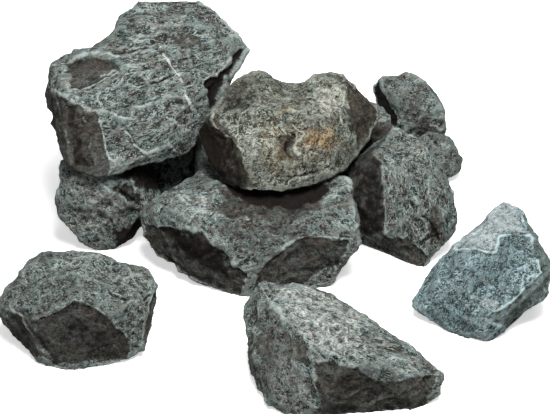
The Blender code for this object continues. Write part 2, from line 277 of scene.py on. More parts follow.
def room_around(stone, node):
    """How far each point may move out before it nears another stone."""
    points, faces = [], []
    for name, other in frame["nodes"].items():
        if name != node:
            start = len(points)
            points.extend(vert.co.copy() for vert in other.data.vertices)
            faces.extend([start + index for index in face.vertices] for face in other.data.polygons)
    tree = BVHTree.FromPolygons(points, faces)
    gaps = [tree.find_nearest(point)[3] for point in stone.points.tolist()]
    return np.clip(np.array(gaps) * ROOM_SHARE - ROOM_KEPT, 0.0, MOST_OUTWARD)


def fracture(stone, rock, strata, stretch, roughness, room):
    """Break the surface into chipped faces of several sizes, drawn out along the rock's layers."""
    axis = np.array(strata, float)
    axis /= np.linalg.norm(axis)
    along = stone.points @ axis
    layered = stone.points - np.outer(along * (1.0 - 1.0 / stretch), axis)
    warp = np.stack([smooth_noise(layered, rock.chip_size, stone.seed + k) for k in range(3)], axis=1)
    layered = layered + warp * rock.chip_size * CHIP_WARP
    relief = np.zeros(len(stone.points))
    size = rock.chip_size
    for level, share in enumerate(CHIP_LEVELS):
        slope = rock.chip_slope * roughness * share
        relief += chipped(layered, size, slope, stone.seed * 31 + level * 7)
        size *= CHIP_SHRINK
    for span in PIT_SPANS:
        relief -= np.abs(smooth_noise(layered, span, stone.seed + 11)) * rock.pit_depth
    middle = np.percentile(relief, LEVEL_PERCENT)
    stone.sink(-np.minimum(relief - middle, room))


def neighbour_mean(values, edges):
    """The mean of each point's neighbours, along the mesh's edges."""
    count = np.bincount(edges.ravel(), minlength=len(values)).astype(float)
    total = np.empty_like(values)
    for column in range(values.shape[1]):
        total[:, column] = np.bincount(edges[:, 0], values[edges[:, 1], column], len(values))
        total[:, column] += np.bincount(edges[:, 1], values[edges[:, 0], column], len(values))
    return total / count[:, None]


def store_marks(stone, grain):
    """Keep the stains and painted shade, and how sharply the surface stands out or falls in, on the mesh.
    """
    mesh = stone.body.data
    pairs = np.empty(len(mesh.edges) * 2, np.int32)
    mesh.edges.foreach_get("vertices", pairs)
    edges = pairs.reshape(-1, 2)
    stone.read()
    smoothed = stone.points
    for name, rounds in RELIEF_ROUNDS.items():
        for _ in range(rounds):
            smoothed = neighbour_mean(smoothed, edges)
        stone.keep(name, ((stone.points - smoothed) * stone.normals).sum(axis=1) / grain)
    for column, name in enumerate(COLOUR_MARKS):
        stone.keep(name + "_colour_mark", stone.colour_mark[:, column])


def mark_area(stone, colour_mark, amount, depth, soft, outline):
    """Stain an area of the front, or paint shade on it, and sink it below its surroundings."""
    ragged = smooth_noise(stone.points, AREA_SPAN, stone.seed + 5) * AREA_RAGGED
    share = smooth_step(-soft, soft, stone.area_depth(outline) + ragged) * stone.facing
    stone.mark(colour_mark, share * amount, share * depth)


def carve(stone, towards, depth, soft, outline):
    """Push a part of the outline in along the sketch plane, through the whole stone."""
    share = smooth_step(-soft, soft, stone.area_depth(outline))
    move = ACROSS * towards[0] + UP * towards[1]
    stone.points += np.outer(share * depth, move / np.linalg.norm(move))


def mark_line(stone, colour_mark, amount, depth, width, path):
    """Stain a thin line that comes and goes, and cut it in, or raise it where the depth is negative."""
    strength = smooth_step(-0.5, 0.25, smooth_noise(stone.points, LINE_SPAN, stone.seed + 6))
    away = stone.line_distance(path)
    share = (1.0 - smooth_step(0.0, 1.0, away / (width * (0.7 + strength)))) * stone.facing
    stone.mark(colour_mark, share * amount * (0.35 + 0.65 * strength), share * depth)


# ---- shader nodes
def add_node(tree, kind, settings=None, **inputs):
    """Add a node. A setting is a property of it, and an input is a value or the socket that feeds it."""
    node = tree.nodes.new(kind)
    for name, value in (settings or {}).items():
        setattr(node, name, value)
    for name, value in inputs.items():
        key = int(name[1:]) if name[0] == "_" else name.replace("_", " ")
        socket = node.inputs[key]
        if isinstance(value, bpy.types.NodeSocket):
            tree.links.new(value, socket)
        else:
            socket.default_value = value
    return node


def maths(tree, operation, first, second=0.0, third=0.0):
    """The result of a Math node."""
    node = add_node(tree, "ShaderNodeMath", {"operation": operation}, _0=first, _1=second, _2=third)
    return node.outputs[0]


def times(tree, first, second):
    """The product of two values."""
    return maths(tree, "MULTIPLY", first, second)


def soft_range(tree, value, low, high, to_low=0.0, to_high=1.0):
    """The value taken from one range to another with a soft start and end."""
    node = add_node(tree, "ShaderNodeMapRange", {"interpolation_type": "SMOOTHSTEP"},
                    Value=value, From_Min=low, From_Max=high, To_Min=to_low, To_Max=to_high)
    return node.outputs[0]


def rgba(colour):
    """A colour with full cover. A socket stays as it is."""
    return colour if isinstance(colour, bpy.types.NodeSocket) else (*colour, 1.0)


def mixed(tree, share, first, second):
    """The first colour going over to the second."""
    node = add_node(tree, "ShaderNodeMix", {"data_type": "RGBA"}, _0=share, _6=rgba(first),
                    _7=rgba(second))
    return node.outputs[2]


def noise_at(tree, position, scale, detail, roughness=0.5, distortion=0.0):
    """The value of a Noise Texture node."""
    node = add_node(tree, "ShaderNodeTexNoise", None, Vector=position, Scale=scale, Detail=detail,
                    Roughness=roughness, Distortion=distortion)
    return node.outputs[0]


def contour_lines(tree, noise, level, wide, thin, strength=1.0):
    """Thin lines where a noise passes this level."""
    away = maths(tree, "ABSOLUTE", maths(tree, "SUBTRACT", noise, level))
    return soft_range(tree, away, wide, thin, 0.0, strength)


def new_group(name, inputs, outputs):
    """An empty shader node group with these inputs and float outputs, and what its inputs give."""
    tree = bpy.data.node_groups.new(name, "ShaderNodeTree")
    for label in inputs:
        kind = "NodeSocketVector" if label == "Position" else "NodeSocketFloat"
        tree.interface.new_socket(name=label, in_out="INPUT", socket_type=kind)
    for label in outputs:
        tree.interface.new_socket(name=label, in_out="OUTPUT", socket_type="NodeSocketFloat")
    return tree, tree.nodes.new("NodeGroupInput").outputs


def put_out(tree, **values):
    """Connect these values to the group's outputs."""
    made = tree.nodes.new("NodeGroupOutput").inputs
    for label, value in values.items():
        tree.links.new(value, made[label])


def mineral_grain_group():
    """Interlocked mineral grains: a mottled tone, bright flecks, dark specks and the grain's height."""
    tree, given = new_group("mineral_grain", ("Position", "Scale"),
                            ("Tone", "Flecks", "Specks", "Height"))
    place, scale = given["Position"], given["Scale"]
    coarse = noise_at(tree, place, scale, 2.0, 0.6)
    fine = noise_at(tree, place, times(tree, scale, 3.6), 4.0, 0.75)
    both = maths(tree, "MULTIPLY_ADD", fine, 0.8, times(tree, coarse, 0.2))
    crystal = add_node(tree, "ShaderNodeTexVoronoi", {"feature": "F1"}, Vector=place,
                       Scale=times(tree, scale, 5.2))
    chance = add_node(tree, "ShaderNodeSeparateColor", None, Color=crystal.outputs["Color"]).outputs[0]
    patchy = maths(tree, "MULTIPLY_ADD", maths(tree, "SUBTRACT", coarse, 0.5), 0.4, chance)
    height = maths(tree, "MULTIPLY_ADD", chance, 0.25, coarse)
    put_out(tree, Tone=soft_range(tree, both, 0.45, 0.57), Flecks=soft_range(tree, patchy, 0.84, 0.97),
            Specks=soft_range(tree, patchy, 0.42, 0.12),
            Height=maths(tree, "MULTIPLY_ADD", fine, 0.9, height))


def hackle_group():
    """Thin bright lines where the rock has torn, and dark cracks: winding contours that come and go."""
    tree, given = new_group("hackle_lines", ("Position", "Scale"), ("Lines", "Cracks"))
    place, scale = given["Position"], given["Scale"]
    winding = noise_at(tree, place, scale, 4.0, 0.6, 0.6)
    other = noise_at(tree, place, times(tree, scale, 1.7), 3.0, 0.55, 0.9)
    net = noise_at(tree, place, times(tree, scale, 3.2), 3.0, 0.6, 0.8)
    gate = noise_at(tree, place, times(tree, scale, 0.6), 2.0)
    lines = contour_lines(tree, winding, 0.5, 0.022, 0.004)
    shown = times(tree, lines, soft_range(tree, gate, 0.44, 0.58))
    shown = maths(tree, "MAXIMUM", shown, contour_lines(tree, net, 0.5, 0.030, 0.004, 0.7))
    cracks = contour_lines(tree, other, 0.46, 0.016, 0.003)
    put_out(tree, Lines=shown, Cracks=times(tree, cracks, soft_range(tree, gate, 0.56, 0.42)))


def wear_highlight_and_shade_group():
    """Rubbed edges, painted highlight and painted shade in hollows, from the mesh's relief broken by
    noise.
    """
    tree, given = new_group("edge_wear_and_highlight", ("Position", "Relief", "Breadth"), ("Worn", "Hollow"))
    ragged = noise_at(tree, given["Position"], 420.0, 4.0, 0.65)
    offset = times(tree, maths(tree, "SUBTRACT", ragged, 0.5), given["Breadth"])
    total = maths(tree, "ADD", given["Relief"], offset)
    put_out(tree, Worn=soft_range(tree, total, 0.03, 0.30), Hollow=soft_range(tree, total, -0.04, -0.42))


def patchy_mark_group():
    """A colour mark, stains and painted shade alike, whose soft painted edge is broken up into patches.
    """
    tree, given = new_group("patchy_mark", ("Position", "Amount", "Scale", "Breakup"), ("Mask",))
    patches = noise_at(tree, given["Position"], given["Scale"], 5.0, 0.62)
    shifted = maths(tree, "SUBTRACT", patches, 0.5)
    shifted = maths(tree, "MULTIPLY_ADD", shifted, given["Breakup"], given["Amount"])
    shown = soft_range(tree, shifted, 0.28, 0.72)
    put_out(tree, Mask=times(tree, shown, soft_range(tree, given["Amount"], 0.0, 0.2)))


def placed_group(tree, name, **inputs):
    """One of the shared groups, placed in a material with its own values."""
    node = add_node(tree, "ShaderNodeGroup", {"node_tree": bpy.data.node_groups[name]}, **inputs)
    return node.outputs


def kept_value(tree, name):
    """A value that is kept on the mesh's points."""
    return add_node(tree, "ShaderNodeAttribute", {"attribute_name": name}).outputs["Fac"]


def rock_material(name, colours, rock, grain_scale, layers):
    """Fractured rock: mottled grains, worn edges, torn lines, stains, and painted highlight and shade."""
    finish = bpy.data.materials.new(name)
    finish.use_nodes = True
    tree = finish.node_tree
    shader = tree.nodes["Principled BSDF"]
    position = add_node(tree, "ShaderNodeTexCoord").outputs["Object"]
    layered = add_node(tree, "ShaderNodeMapping", {"vector_type": "TEXTURE"}, Vector=position,
                       Rotation=(0.0, layers[0], 0.0), Scale=(layers[1], 1.0, 1.0)).outputs[0]
    grain = placed_group(tree, "mineral_grain", Position=layered, Scale=grain_scale)
    torn = placed_group(tree, "hackle_lines", Position=layered, Scale=grain_scale * 0.36)
    fine = placed_group(tree, "edge_wear_and_highlight", Position=position, Relief=kept_value(tree, "fine_relief"),
                        Breadth=0.8)
    broad = placed_group(tree, "edge_wear_and_highlight", Position=position, Relief=kept_value(tree, "broad_relief"),
                         Breadth=0.9)
    masks = {}
    for colour_mark in COLOUR_MARKS:
        scale = LINE_BREAKS if colour_mark == "line" else PATCH_BREAKS
        breakup = 0.5 if colour_mark == "ochre" else 1.1
        masks[colour_mark] = placed_group(tree, "patchy_mark", Position=position, Scale=scale,
                                    Amount=kept_value(tree, colour_mark + "_colour_mark"), Breakup=breakup)["Mask"]
    drift = noise_at(tree, position, 34.0, 3.0, 0.55)
    cloud = noise_at(tree, layered, 110.0, 5.0, 0.7)
    tint = noise_at(tree, position, 130.0, 5.0, 0.7)

    # The ground colour, then old faces, stains, dark grains, and painted shade on brown faces and
    # hollows.
    tinted = mixed(tree, soft_range(tree, tint, 0.44, 0.56), colours.body, colours.cool)
    lit = mixed(tree, soft_range(tree, cloud, 0.40, 0.56), colours.dull, tinted)
    colour = mixed(tree, grain["Tone"], colours.shade, lit)
    warm = times(tree, soft_range(tree, drift, 0.50, 0.70), 0.55)
    brown = times(tree, masks["brown"], soft_range(tree, grain["Tone"], 1.0, 0.0, 0.55, 0.95))
    for share, coat in (
        (warm, colours.weathered),
        # Brown areas take the weathered colour, partly as painted shade on faces turned from the light.
        (brown, colours.weathered),
        (times(tree, masks["ochre"], 0.8), colours.ochre),
        (times(tree, grain["Specks"], 0.85), colours.shade),
        # Painted shade in the broad and the small hollows.
        (times(tree, broad["Hollow"], 0.6), colours.shade),
        (times(tree, fine["Hollow"], 0.75), colours.crevice),
    ):
        colour = mixed(tree, share, colour, coat)

    # Bright: rubbed edges with painted highlight, torn lines and flecks, all dimmer on dark and brown
    # marks.
    rubbed_and_highlit = times(tree, fine["Worn"], soft_range(tree, drift, 0.36, 0.60, 0.15, 1.0))
    flecks = times(tree, grain["Flecks"], soft_range(tree, drift, 0.38, 0.58, 0.35, 1.0))
    bright = times(tree, rubbed_and_highlit, rock.edge_wear_and_highlight)
    for source, strength in (
        # Painted highlight on the broad ridges, in the edge colour.
        (broad["Worn"], rock.edge_wear_and_highlight * 0.3),
        (torn["Lines"], 0.65),
        (flecks, rock.fleck_amount),
    ):
        bright = maths(tree, "MAXIMUM", bright, times(tree, source, strength))
    dimmed = times(tree, maths(tree, "MAXIMUM", masks["dark"], masks["brown"]), 0.8)
    bright = times(tree, bright, maths(tree, "SUBTRACT", 1.0, dimmed))
    frosted = times(tree, masks["pale"], soft_range(tree, grain["Tone"], 0.0, 0.8, 0.25, 0.9))
    for share, coat in (
        (bright, colours.edge),
        (times(tree, masks["line"], 0.6), colours.edge),
        (times(tree, torn["Cracks"], 0.8), colours.crevice),
        (frosted, colours.frost),
        # Dark areas are painted shade and shadow; dark lines are cracks.
        (times(tree, masks["dark"], 0.96), colours.crevice),
    ):
        colour = mixed(tree, share, colour, coat)
    tree.links.new(colour, shader.inputs["Base Color"])

    rough = soft_range(tree, grain["Tone"], 0.0, 1.0, 0.62, 0.88)
    tree.links.new(rough, shader.inputs["Roughness"])
    shader.inputs["Specular IOR Level"].default_value = 0.15
    height = maths(tree, "MULTIPLY_ADD", torn["Lines"], 0.25, grain["Height"])
    height = maths(tree, "MULTIPLY_ADD", torn["Cracks"], -0.5, height)
    bump = add_node(tree, "ShaderNodeBump", None, Strength=rock.bump_strength, Distance=0.0011,
                    Height=height)
    tree.links.new(bump.outputs[0], shader.inputs["Normal"])
    return finish


# ---- sizes and colours to change
def colour_property(name, description, default):
    """A colour that can be changed in the panel."""
    return FloatVectorProperty(name=name, description=description, default=default, size=3, min=0.0,
                               max=1.0, subtype="COLOR")


def number(name, description, default, lowest, highest, **kind):
    """A number that can be changed in the panel. Its kind is a unit or a subtype."""
    return FloatProperty(name=name, description=description, default=default, min=lowest,
                         max=highest, **kind)


class RockProperties(PropertyGroup):
    """How finely and how deeply all the stones are broken, and how worn they are."""
    mesh_grain: number("Mesh grain", "Edge length of the fine mesh", 0.0011, 0.0006, 0.004, unit="LENGTH")
    chip_size: number("Chip size", "Span of the largest chipped faces", 0.028, 0.005, 0.08, unit="LENGTH")
    chip_slope: number("Chip slope", "How much the chipped faces tilt", 0.23, 0.0, 1.0)
    pit_depth: number("Pit depth", "Depth of the small pits", 0.00045, 0.0, 0.002, unit="LENGTH")
    # The edge wear also sets the painted highlight on edges and broad ridges.
    edge_wear_and_highlight: number("Edge wear", "How bright the rubbed edges are", 0.6, 0.0, 1.0, subtype="FACTOR")
    fleck_amount: number("Flecks", "How bright the mineral flecks are", 0.62, 0.0, 1.0, subtype="FACTOR")
    bump_strength: number("Bump", "Strength of the grain's bump", 0.62, 0.0, 1.0, subtype="FACTOR")


def rock_colours(shade, body, dull, cool, weathered, ochre, edge, frost, crevice):
    """The colour properties of one kind of rock."""
    return {
        # The shade colour is the dark grains' own colour, and painted shade in the broad hollows.
        "shade": colour_property("Shade", "Dark grains and recesses", shade),
        "body": colour_property("Body", "Most of the broken surface", body),
        "dull": colour_property("Dull", "The duller patches of the surface", dull),
        "cool": colour_property("Cool", "Bluish patches of the surface", cool),
        # The weathered colour paints old faces, and painted shade on the brown faces turned from the
        # light.
        "weathered": colour_property("Weathered", "Old faces of the rock", weathered),
        "ochre": colour_property("Ochre", "Rusty patches", ochre),
        # The edge colour paints rubbed edges, flecks and torn lines, and painted highlight on edges and
        # ridges.
        "edge": colour_property("Edge", "Rubbed edges and flecks", edge),
        "frost": colour_property("Frost", "Pale crust", frost),
        # The crevice colour paints deep cracks, and painted shade in small hollows and in the dark areas.
        "crevice": colour_property("Crevice", "Deep cracks", crevice),
    }


class GreenRockColours(PropertyGroup):
    """Colours of the green-grey stones."""
    __annotations__ = rock_colours(
        shade=(0.012, 0.013, 0.011), body=(0.128, 0.154, 0.141), dull=(0.100, 0.075, 0.060),
        cool=(0.076, 0.142, 0.143), weathered=(0.036, 0.027, 0.020), ochre=(0.24, 0.17, 0.08),
        edge=(0.43, 0.495, 0.465), frost=(0.62, 0.64, 0.60), crevice=(0.006, 0.004, 0.003))


class DarkRockColours(PropertyGroup):
    """Colours of the dark grey stones."""
    __annotations__ = rock_colours(
        shade=(0.010, 0.010, 0.009), body=(0.128, 0.145, 0.132), dull=(0.080, 0.067, 0.055),
        cool=(0.082, 0.140, 0.140), weathered=(0.031, 0.023, 0.017), ochre=(0.16, 0.12, 0.06),
        edge=(0.37, 0.43, 0.40), frost=(0.50, 0.52, 0.49), crevice=(0.005, 0.004, 0.004))


class OchreRockColours(PropertyGroup):
    """Colours of the pale stone with ochre stains."""
    __annotations__ = rock_colours(
        shade=(0.014, 0.012, 0.009), body=(0.118, 0.136, 0.116), dull=(0.084, 0.076, 0.056),
        cool=(0.095, 0.135, 0.125), weathered=(0.026, 0.016, 0.010), ochre=(0.34, 0.22, 0.10),
        edge=(0.48, 0.51, 0.43), frost=(0.60, 0.58, 0.52), crevice=(0.006, 0.004, 0.003))


class BlueRockColours(PropertyGroup):
    """Colours of the blue-green stone with a pale cap."""
    __annotations__ = rock_colours(
        shade=(0.022, 0.030, 0.031), body=(0.100, 0.170, 0.165), dull=(0.058, 0.082, 0.086),
        cool=(0.085, 0.160, 0.185), weathered=(0.095, 0.115, 0.100), ochre=(0.20, 0.19, 0.14),
        edge=(0.50, 0.64, 0.66), frost=(0.42, 0.45, 0.45), crevice=(0.008, 0.009, 0.009))


class StageProperties(PropertyGroup):
    """The floor, the lights and the camera."""
    floor_colour: colour_property("Floor", "Colour of the floor", (0.90, 0.90, 0.90))
    floor_bounce: colour_property("Floor bounce", "Colour that the floor throws back on the stones",
                                  (0.28, 0.27, 0.26))
    floor_glow: number("Floor glow", "Brightness that lifts the shadows", 0.6, 0.0, 5.0)
    sky_strength: number("Sky", "Strength of the light from all round", 0.22, 0.0, 5.0)
    key_power: number("Key light", "Power of the large light above", 37.0, 0.0, 500.0, unit="POWER")
    fill_power: number("Fill light", "Power of the light from the front", 2.0, 0.0, 500.0, unit="POWER")
    back_power: number("Back light", "Power of the light from behind", 6.0, 0.0, 500.0, unit="POWER")
    lens: number("Lens", "Focal length of the camera in mm", 400.0, 50.0, 1000.0)
    view_width: number("View width", "Width that the camera takes in", 0.385, 0.1, 2.0, unit="LENGTH")
    rise: number("Rise", "Angle of the camera above the ground", SKETCH_RISE, 0.0, 1.5, subtype="ANGLE")


# ---- one operator for each stone
class StoneOperator:
    """What the stones' operators share, and how a stone is described.

    Outlines and paths are in tenths of the stone's half size, across and up in the sketch view.
    A carve gives its direction, its depth, the softness of its edge and an outline.
    An area gives a colour mark, its amount, a depth, the softness of its edge and an outline, and an
    area that only sinks has "" for its mark. Dark areas are painted shade, brown areas partly so.
    A line gives a colour mark, its amount, a depth, its width and a path.
    They act one after another, in the order given.
    The chipped faces are drawn out along the direction strata, by stretch. The grain is turned
    and drawn out by layers, which are the angle and the stretch.
    """
    bl_options = {"REGISTER", "UNDO"}
    node = ""
    seed = 1
    colours = "green"
    strata = (0.3, 0.2, 1.0)
    stretch = 1.0
    roughness = 1.0
    grain_scale = 260.0
    layers = (0.0, 1.5)
    carves = ()
    areas = ()
    lines = ()

    def execute(self, context):
        rock = context.scene.heater_rock
        colours = getattr(context.scene, "heater_" + self.colours)
        stone = ShapedStone(fine_copy(self.node, rock.mesh_grain), self.seed)
        for towards, depth, soft, outline in self.carves:
            carve(stone, towards, depth, soft, outline)
        for colour_mark, amount, depth, soft, outline in self.areas:
            mark_area(stone, colour_mark, amount, depth, soft, outline)
        for colour_mark, amount, depth, width, path in self.lines:
            mark_line(stone, colour_mark, amount, depth, width, path)
        stone.write()
        stone.read()
        room = room_around(stone, self.node)
        fracture(stone, rock, self.strata, self.stretch, self.roughness, room)
        stone.write()
        store_marks(stone, rock.mesh_grain)
        body = stone.body
        body.data.materials.append(
            rock_material(body.name + "_finish", colours, rock, self.grain_scale, self.layers))
        select_only(body)
        bpy.ops.object.shade_smooth()
        bodies = RECORD["behaviour"]["bodies"]
        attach(body, next(name for name, members in bodies.items() if self.node in members))
        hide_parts(self.node)
        return {"FINISHED"}


class HEATER_OT_large_top(StoneOperator, Operator):
    """Build the large layered stone at the top of the heap."""
    bl_idname = "heater.large_top"
    bl_label = "Large top stone"
    node = "large_top_stone"
    seed = 3
    strata = (0.9, 0.0, 0.25)
    stretch = 1.8
    layers = (-0.35, 2.4)
    carves = (
        ((0.5, -1), 0.0075, 0.005, ((-13, 4.6), (-8, 5.2), (-5, 5.6), (-3.6, 8), (-3.6, 13), (-13, 13))),
        ((1, 1), 0.003, 0.006, ((5, 13), (12, 13), (10, 6), (6, 7.4))),
        ((0, 1), 0.004, 0.01, ((-4, 13), (7, 13), (6, 7), (-2, 7))),
        ((-1, -0.2), 0.006, 0.009, ((6, 9), (13, 9), (13, 0.5), (7.5, 0.5))),
        ((-1, 0), 0.0035, 0.01, ((-13, 5), (-7, 5), (-7, -5), (-13, -5))),
    )
    areas = (
        ("", 0, 0.002, 0.0015,
         ((-9, 4), (-5.6, 4.5), (-3, 4.3), (1, 5.6), (5, 6), (11, 7), (11, 12), (-12, 12))),
        # Painted shade, in part: the brown areas on the left faces, which turn from the light.
        ("brown", 1, 0, 0.002,
         ((-10, 1), (-9, 0), (-5, -3), (-4, -8), (-4.5, -11), (-8, -11), (-11, -4))),
        ("brown", 0.9, 0.0022, 0.0015, ((-8, 3.5), (-3.4, 3.4), (-3.2, 1.8), (-7.3, 0))),
        ("", 0, 0.0016, 0.0012,
         ((-4.9, -0.8), (-4.5, -2.4), (-2.5, -3.3), (-1.8, -2.1), (-0.3, -1.6), (2.4, 0.4), (0.2, 2),
          (-3.4, 1.6))),
        # Painted shade: the dark areas on the shaded crack face at the right and on the left faces.
        ("dark", 1, 0.004, 0.0015,
         ((10, 5.5), (9.2, 5.2), (8.3, 3.6), (6.3, 1.8), (5.3, 1.2), (5.5, -2.4), (6.2, -2), (6.6, 0.2),
          (8.4, 2.4))),
        ("brown", 0.6, 0.0008, 0.003, ((1, 6.6), (4, 7), (6, 5), (2.6, 4.4))),
        ("dark", 0.55, 0.0008, 0.0015, ((-7.8, -1.4), (-7, -1.8), (-6, -9), (-7.4, -9))),
        ("dark", 0.45, 0.0006, 0.0015, ((-9.4, -1), (-8.8, -1), (-8.4, -6), (-9, -6))),
    )
    lines = (
        ("pale", 0.9, -0.0002, 0.0011, ((0.9, 5), (2.3, 2.1), (3.4, -1), (4.5, -2.9))),
        ("line", 0.8, -0.0006, 0.001, ((-9, 3), (-5.6, 4), (-3.1, 4))),
        ("line", 0.7, -0.0006, 0.001, ((-7.2, 0), (-5, 1.2), (-3.2, 2.4), (-0.5, 3.2))),
        ("line", 0.9, -0.0008, 0.001, ((-9, 0.3), (-5.1, -2.9), (-4.6, -5), (-4, -7.9))),
        ("line", 0.5, -0.0005, 0.001, ((-8.6, -0.5), (-7.9, -4), (-7.7, -8.6))),
        ("line", 0.5, -0.0005, 0.001, ((-6.6, -2), (-5.7, -5), (-5.4, -9))),
        ("line", 0.9, -0.0005, 0.001,
         ((-5.1, -0.8), (-4.5, -2.4), (-2.5, -3.3), (-1.8, -2.1), (-0.3, -1.6))),
        ("line", 0.9, -0.0005, 0.001,
         ((-4.5, -4.3), (-2.5, -4.5), (-1.6, -6.4), (-0.6, -7.3), (1.5, -6.4), (3.2, -7.8))),
        ("line", 0.8, -0.0004, 0.0009, ((8.3, 4), (6.3, 2.2), (5, 1.4))),
        ("line", 0.6, -0.0004, 0.001, ((-3, 5.2), (0, 5.4), (3.6, 6.6))),
        ("line", 0.5, -0.0004, 0.0009, ((2.2, 3.6), (4.4, 4.2), (7, 5.8))),
        ("line", 0.6, -0.0004, 0.0009, ((-5, 1.9), (-1, 3.4), (1.8, 3.8))),
        ("line", 0.5, -0.0004, 0.0009, ((-1, -2.4), (1.6, -3.4), (4.2, -5.4))),
        ("line", 0.7, -0.0004, 0.0009, ((3, 0.2), (4.2, 0.8), (5.2, 0.7))),
        ("dark", 0.8, 0.001, 0.0009, ((0.2, 1), (2.3, 1.9), (4.4, 2.8))),
        ("dark", 0.8, 0.001, 0.0009, ((-5.4, -0.6), (-4.7, -2.6), (-3.9, -3.4))),
    )


class HEATER_OT_notched_top(StoneOperator, Operator):
    """Build the pale stone with ochre stains and a dip in its far edge."""
    bl_idname = "heater.notched_top"
    bl_label = "Notched top stone"
    node = "notched_top_stone"
    seed = 5
    colours = "ochre"
    roughness = 0.8
    grain_scale = 240.0
    layers = (-0.3, 1.3)
    carves = (
        ((0.1, -1), 0.003, 0.005, ((-3, 13), (3.6, 13), (1.6, 7.4), (0, 6.2), (-1.6, 7.4))),
    )
    areas = (
        # Painted shade: the dark and brown areas on the left face, turned from the light.
        ("dark", 0.62, 0.0005, 0.006, ((-8.4, 2), (-6.2, -2), (-4, -9), (-6, -10), (-10, -5), (-10, 0))),
        ("brown", 1, 0, 0.002, ((-8.2, 3), (-6, -2), (-3.8, -9), (-6, -10), (-10, -5), (-10, 2))),
        ("dark", 0.95, 0, 0.004, ((-11, 2), (-8.8, 1), (-7.6, -3), (-6.4, -9), (-11, -9))),
        ("ochre", 0.8, 0.0004, 0.005, ((1, 0.2), (5, 0.4), (4.6, -3.2), (1.5, -3.4))),
        ("ochre", 0.55, 0, 0.004, ((-1.6, 4), (1.2, 4), (1, 2.6), (-1.2, 2.4))),
        ("ochre", 0.4, 0, 0.014, ((-4.4, 3), (6, 3), (7, -4), (1, -9), (-4, -8.4))),
        # Painted shade, in part: the brown and dark areas on the right face.
        ("brown", 1, 0.001, 0.003, ((6.2, 8), (9.6, 6), (9.8, 2), (7.6, -3), (6.4, 1.6))),
        ("dark", 0.45, 0, 0.004, ((7, 6), (10, 5), (10, 1), (7.4, 2))),
        ("dark", 0.5, 0.0006, 0.004, ((-7, 5.8), (-4, 6), (-3.4, 3.8), (-7, 3))),
        ("brown", 0.6, 0, 0.006, ((-8, 8), (-4, 9), (-3, 5), (-8, 3))),
        ("brown", 0.8, 0.0016, 0.0035, ((-1.4, -1), (0.4, -1), (0.2, -5), (-1.2, -5))),
        ("pale", 0.45, 0, 0.004, ((2.4, 7.4), (5.6, 7), (6, 1), (3, 1.6))),
        ("pale", 0.4, 0, 0.004, ((-5.2, 1), (-3, 1.4), (-3.4, -7), (-4.4, -5))),
    )
    lines = (
        ("line", 0.8, -0.0006, 0.001, ((-5.4, 3), (-4, 4), (-2.8, 4.8))),
        ("line", 0.7, -0.0005, 0.001, ((-8, 5.6), (-8.4, 1.4), (-6, -2.2), (-4, -8.6))),
        ("line", 0.9, -0.0012, 0.0012, ((0.4, 0.6), (1.2, -0.4), (0.9, -1.6), (0.5, -2.8), (0.9, -4))),
        ("dark", 0.85, 0.0016, 0.0018, ((0.4, -0.8), (-0.2, -2.2), (-0.6, -3.4), (0, -4.6))),
        ("line", 0.6, -0.0004, 0.0009, ((5.8, 6), (5.6, 2), (6.2, -1))),
        ("dark", 0.7, 0.0008, 0.001, ((-1.6, -7.6), (2, -7.4), (4.6, -5.6))),
    )


class HEATER_OT_front_base(StoneOperator, Operator):
    """Build the wide stone in the middle of the front."""
    bl_idname = "heater.front_base"
    bl_label = "Front base stone"
    node = "front_base_stone"
    seed = 7
    layers = (0.3, 1.8)
    areas = (
        # Painted shade, in part: the brown and dark areas on the lower left face.
        ("brown", 1, 0.0016, 0.0014,
         ((-9.5, 0.9), (-6, 0.2), (-4.4, 0.2), (-2.4, -3.4), (-0.5, -6.8), (-1, -10), (-5, -8),
          (-10, -2))),
        ("dark", 0.7, 0.001, 0.004, ((-8.2, 0), (-6, -0.2), (-4.6, 0), (-2, -5), (-2, -8), (-7, -3))),
        # Painted shadow under the notched stone: a brown shaded bowl and a near-black contact shadow.
        ("brown", 0.9, 0.002, 0.008, ((-3, 7), (7, 7), (6.4, 3.4), (3.6, 1.4), (-2.4, 2.2))),
        ("dark", 1, 0, 0.006,
         ((-2.6, 7.6), (8, 7.6), (6.6, 5), (5, 4.2), (2, 3.9), (0, 4.4), (-2, 6))),
        ("brown", 1, 0.0014, 0.0014,
         ((1.6, -4.6), (3.2, -2), (5.5, -0.9), (9, -1.3), (8, -5), (4, -9), (0, -9))),
        ("pale", 0.4, 0, 0.003, ((-8, 5.8), (-3.8, 6), (-3.8, 2.6), (-7.6, 3))),
        ("brown", 0.55, 0, 0.009, ((-4, 3), (4, 3), (6, -1), (0, -4), (-3, -1))),
    )
    lines = (
        ("line", 0.8, -0.0007, 0.001, ((-9.3, 0.9), (-6, 0.3), (-4.4, 0.3), (-2.4, -3.4), (-0.5, -6.6))),
        ("line", 0.8, -0.0006, 0.001, ((1.6, -4.6), (3.2, -1.9), (5.5, -0.8), (9, -1.2))),
        ("line", 0.7, -0.0005, 0.0009, ((-7, 6), (-6.2, 4.4), (-4.6, 3.6), (-4.2, 5.4))),
        ("line", 0.6, -0.0004, 0.0009, ((8, 5), (8.6, 2.4), (9.6, 0.6))),
    )


